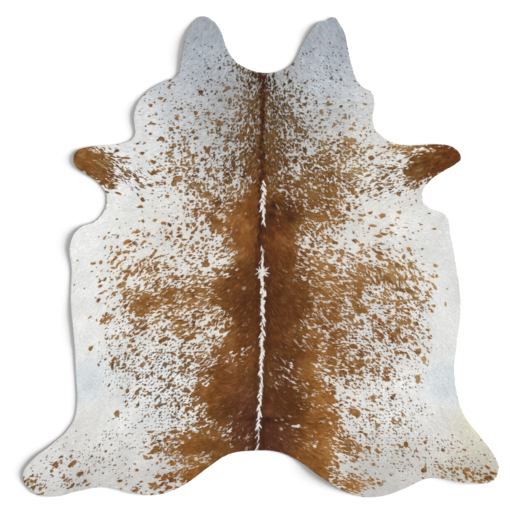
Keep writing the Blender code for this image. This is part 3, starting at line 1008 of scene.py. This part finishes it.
COAT_BANDS = ["neck", "shoulders", "belly", "loins", "rump"]
TUFT_SPACING = 1.70  # mm between the roots of neighbouring tufts
TUFT_LENGTH = 7.2  # mm
TUFT_WIDTH = 2.8  # mm at its root
TUFT_RISE = 0.10  # how steeply a tuft rises from the skin
TUFT_ROLL = 0.10  # how far a tuft's root tips sideways
TUFT_TURN = 0.45  # how far a tuft's own slope turns its shading from straight up
SHADING_SCATTER = 0.03  # how much that differs between tufts
TONE_SCATTER = 0.035  # how much neighbouring tufts differ in lightness
ROOT_DEPTH = 0.1  # mm that the roots are sunk into the undercoat
SHORTEST_TUFT = 1.5  # mm, where the edge cuts a tuft
OVERHANG = 2.2  # mm that the hair reaches past the cut edge
LAY_SCATTER = 0.17  # radians that neighbouring tufts differ by
COLOUR_PLACE = 0.55  # place along a tuft that its colour is taken from, the middle of what shows
ROOT_SHADE = 0.90  # roots lie in the shade of the tufts over them
UP = np.array([0.0, 0.0, 1.0])


def tufts(lay, distance):
    """Root places, directions and lengths of the tufts, cut short where they pass the edge."""
    x, y = scattered(TUFT_SPACING, 0.5)
    room = sample(distance, x, y)
    kept = room > 0.2
    x = x[kept]
    y = y[kept]
    room = room[kept]
    along = sample(lay, x, y).astype(float)
    scatter = random.normal(0.0, LAY_SCATTER, len(x))
    dx, dy = turned(along[:, 0], along[:, 1], -scatter)
    length = TUFT_LENGTH * random.uniform(0.75, 1.25, len(x))
    tip_room = sample(distance, x + dx * length, y + dy * length)
    share = (room + OVERHANG * random.uniform(0.2, 1.0, len(x))) / (room - tip_room + 1e-6)
    cut = np.clip(length * share, SHORTEST_TUFT, length)
    return x, y, dx, dy, np.where(tip_room < -OVERHANG, cut, length)


def tuft_corners(x, y, dx, dy, length, distance, ground):
    """The three corners of each tuft: one side of its root, its tip, and the other side."""
    count = len(x)
    half = 0.5 * TUFT_WIDTH * random.uniform(0.8, 1.2, count)
    rise = length * TUFT_RISE * random.uniform(0.55, 1.45, count)
    roll = random.normal(0.0, TUFT_ROLL, count) * half
    tip_x = x + dx * length
    tip_y = y + dy * length
    root_z = sample(ground, x, y) + SHEET_THICKNESS - ROOT_DEPTH
    tip_z = sample(ground, tip_x, tip_y) + SHEET_THICKNESS + rise
    tip_z -= 0.5 * np.clip(-sample(distance, tip_x, tip_y), 0.0, None)

    points = np.empty((count, 3, 3))
    points[:, 0] = np.column_stack([x + dy * half, y - dx * half, root_z + roll])
    points[:, 1] = np.column_stack([tip_x, tip_y, tip_z])
    points[:, 2] = np.column_stack([x - dy * half, y + dx * half, root_z - roll])
    points[..., 2] = np.clip(points[..., 2], 0.2, None)
    return points


def tuft_shading(points):
    """The direction that each tuft's shading faces, between its own and straight up."""
    facing = face_normals(points)
    facing /= np.linalg.norm(facing, axis=1, keepdims=True)
    normals = TUFT_TURN * facing + (1.0 - TUFT_TURN) * UP
    normals += random.normal(0.0, SHADING_SCATTER, normals.shape)
    return normals / np.linalg.norm(normals, axis=1, keepdims=True)


def tuft_bake_map(x, y):
    """A small triangle of the bake map for each tuft, around its own place in the band."""
    low_y = y.min() - TUFT_SPACING
    high_y = y.max() + TUFT_SPACING
    cell = np.array([[-0.5, -0.5], [0.0, 0.5], [0.5, -0.5]]) * TUFT_SPACING
    place = np.stack([x, y], -1)[:, None, :] + cell[None]
    u = (place[..., 0] + RASTER_HALF) / (2.0 * RASTER_HALF)
    v = (place[..., 1] - low_y) / (high_y - low_y)
    return np.clip(np.stack([u, v], -1), 0.0, 1.0).reshape(-1, 2)


def build_coat(lay, distance, lift, relief, colour):
    """The hair: flat-lying pointed tufts, as one joined mesh for each band of the body."""
    x, y, dx, dy, length = tufts(lay, distance)
    points = tuft_corners(x, y, dx, dy, length, distance, lift + relief)
    normals = tuft_shading(points)
    shown = sample(colour, x + COLOUR_PLACE * dx * length, y + COLOUR_PLACE * dy * length)
    tip = albedo(shown * random.normal(1.0, TONE_SCATTER, (len(x), 1)))
    # painted shade: the root corners are darkened for the shade of the tufts over them
    root = tip * ROOT_SHADE

    order = np.argsort(-y, kind="stable")
    pieces = []
    for name, chosen in zip(COAT_BANDS, np.array_split(order, len(COAT_BANDS))):
        faces = np.arange(3 * len(chosen)).reshape(-1, 3)
        piece = mesh_object("coat_" + name, points[chosen].reshape(-1, 3), faces)
        shading = np.repeat(normals[chosen], 3, axis=0)
        store(piece.data, "custom_normal", "FLOAT_VECTOR", "vector", shading)
        tint = np.stack([root[chosen], tip[chosen], root[chosen]], 1).reshape(-1, 3)
        store(piece.data, "hair_colour_and_shade", "FLOAT_COLOR", "color", with_alpha(tint))
        set_bake_map(piece.data, tuft_bake_map(x[chosen], y[chosen]))
        pieces.append(piece)
    return pieces


# ---- Materials ----

def new_material(name):
    """An empty node material, its node tree and its shader."""
    material = bpy.data.materials.new(name)
    material.use_nodes = True
    return material, material.node_tree, material.node_tree.nodes["Principled BSDF"]


def feed(tree, node, inputs):
    """Set a node's inputs, each to a value or to another node's output."""
    for name, value in inputs.items():
        if isinstance(value, bpy.types.NodeSocket):
            tree.links.new(value, node.inputs[name])
        else:
            node.inputs[name].default_value = value


def add(tree, kind, output, inputs):
    """A new node's output, with its inputs set."""
    node = tree.nodes.new("ShaderNode" + kind)
    feed(tree, node, inputs)
    return node.outputs[output]


def stored(tree, name, output):
    """The output that carries a value stored on the mesh."""
    node = tree.nodes.new("ShaderNodeAttribute")
    node.attribute_name = name
    return node.outputs[output]


def colour_mix(tree, blend_type, inputs):
    """The output of a mix of two colours."""
    node = tree.nodes.new("ShaderNodeMix")
    node.data_type = "RGBA"
    node.blend_type = blend_type
    feed(tree, node, inputs)
    return node.outputs["Result"]


def hair_material():
    """Short glossy hair, coloured tuft by tuft, with painted shade darkening it at its roots."""
    material, tree, shader = new_material("hair")
    place = add(tree, "TexCoord", "Object", {})
    grain = add(tree, "TexNoise", "Fac", {"Vector": place, "Scale": 420.0, "Detail": 2.0})
    grade = add(tree, "MapRange", "Result", {"Value": grain, "To Min": 0.94, "To Max": 1.06})
    gloss = add(tree, "MapRange", "Result", {"Value": grain, "To Min": 0.52, "To Max": 0.70})
    tone = tree.nodes.new("ShaderNodeVectorMath")
    tone.operation = "SCALE"
    feed(tree, tone, {0: stored(tree, "hair_colour_and_shade", "Color"), "Scale": grade})
    feed(tree, shader, {
        "Base Color": tone.outputs["Vector"], "Roughness": gloss, "Specular IOR Level": 0.18,
    })
    return material


def skin_material():
    """Hair side tinted by the coat's colour with painted shade from the tufts over it, flesh side pale
    suede.
    """
    material, tree, shader = new_material("skin")
    pigment_and_shade = stored(tree, "pigment_and_shade", "Color")
    side = stored(tree, "hair_side", "Fac")
    place = add(tree, "TexCoord", "Object", {})
    fibres = add(tree, "TexNoise", "Fac", {
        "Vector": place, "Scale": 90.0, "Detail": 6.0, "Roughness": 0.65,
    })
    clouds = add(tree, "TexNoise", "Fac", {"Vector": place, "Scale": 4.0, "Detail": 3.0})
    suede = tree.nodes.new("ShaderNodeValToRGB")
    feed(tree, suede, {"Fac": clouds})
    dark, light = suede.color_ramp.elements
    dark.position = 0.30
    dark.color = (0.46, 0.37, 0.27, 1.0)
    light.position = 0.70
    light.color = (0.66, 0.57, 0.45, 1.0)
    nap = colour_mix(tree, "OVERLAY", {"Factor": 0.35, "A": suede.outputs["Color"], "B": fibres})
    both = colour_mix(tree, "MIX", {"Factor": side, "A": nap, "B": pigment_and_shade})
    bump = add(tree, "Bump", "Normal", {"Strength": 0.5, "Distance": 0.0008, "Height": fibres})
    rough = add(tree, "MapRange", "Result", {"Value": fibres, "To Min": 0.80, "To Max": 0.95})
    feed(tree, shader, {
        "Base Color": both, "Normal": bump, "Roughness": rough, "Specular IOR Level": 0.2,
    })
    return material


# ---- Studio ----

FRAME_PX = 510
LENS_MM = 100.0
SENSOR_MM = 36.0
KEY_HEIGHT = 18.0  # degrees over the floor
KEY_SPREAD = 34.0  # degrees that the soft light spans
KEY_STRENGTH = 7.9
WORLD_STRENGTH = 0.60
FLOOR_ALBEDO = 0.75
FLOOR_SIZE = 30.0  # m
FLOOR_DROP = 0.0004  # m under the hide


def build_camera():
    """Straight above the rug, with the neck at the top of the picture."""
    data = bpy.data.cameras.new("camera")
    data.lens = LENS_MM
    data.sensor_width = SENSOR_MM
    camera = placed("camera", data)
    x, y = from_photo(FRAME_PX / 2, FRAME_PX / 2)
    width = FRAME_PX * PHOTO_MM_PER_PX * MM
    camera.location = (x * MM, y * MM, width * LENS_MM / SENSOR_MM + CAD_THICKNESS * MM)
    bpy.context.scene.camera = camera


def build_key():
    """A wide soft light from the right of the picture."""
    data = bpy.data.lights.new("key", "SUN")
    data.angle = math.radians(KEY_SPREAD)
    data.energy = KEY_STRENGTH
    light = placed("key", data)
    light.rotation_euler = (0.0, math.radians(90.0 - KEY_HEIGHT), 0.0)


def build_floor():
    """A plain white floor."""
    bpy.ops.mesh.primitive_plane_add(size=FLOOR_SIZE, location=(0.0, 0.0, -FLOOR_DROP))
    floor = bpy.context.object
    floor.name = "floor"
    material, tree, shader = new_material("floor")
    white = (FLOOR_ALBEDO, FLOOR_ALBEDO, FLOOR_ALBEDO, 1.0)
    feed(tree, shader, {"Base Color": white, "Roughness": 0.9})
    floor.data.materials.append(material)


def build_studio():
    """The floor, the white light from all around, the key light and plain display colours."""
    build_floor()
    world = bpy.data.worlds.new("studio")
    world.use_nodes = True
    background = world.node_tree.nodes["Background"]
    feed(world.node_tree, background, {"Color": (1.0, 1.0, 1.0, 1.0), "Strength": WORLD_STRENGTH})
    bpy.context.scene.world = world
    build_key()
    bpy.context.scene.view_settings.view_transform = "Standard"
    bpy.context.scene.view_settings.look = "None"


def main():
    """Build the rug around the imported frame, then the studio."""
    points, triangles = cad_triangles()
    top = top_faces(points, triangles)
    loop = outline_loop(points, top)
    distance = edge_distance(loop)
    lift = underside_height(points, top)
    relief = sum(height * noise(reach) for height, reach in RELIEF)
    lay = hair_lay()
    colour = coat_colour(lay)
    skin = build_skin(loop, distance, lift, relief, colour)
    skin.data.materials.append(skin_material())
    coat = build_coat(lay, distance, lift, relief, colour)
    hair = hair_material()
    for piece in coat:
        piece.data.materials.append(hair)
        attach(piece, "root")
    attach(skin, "root")
    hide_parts("hide")
    build_studio()
    build_camera()


main()
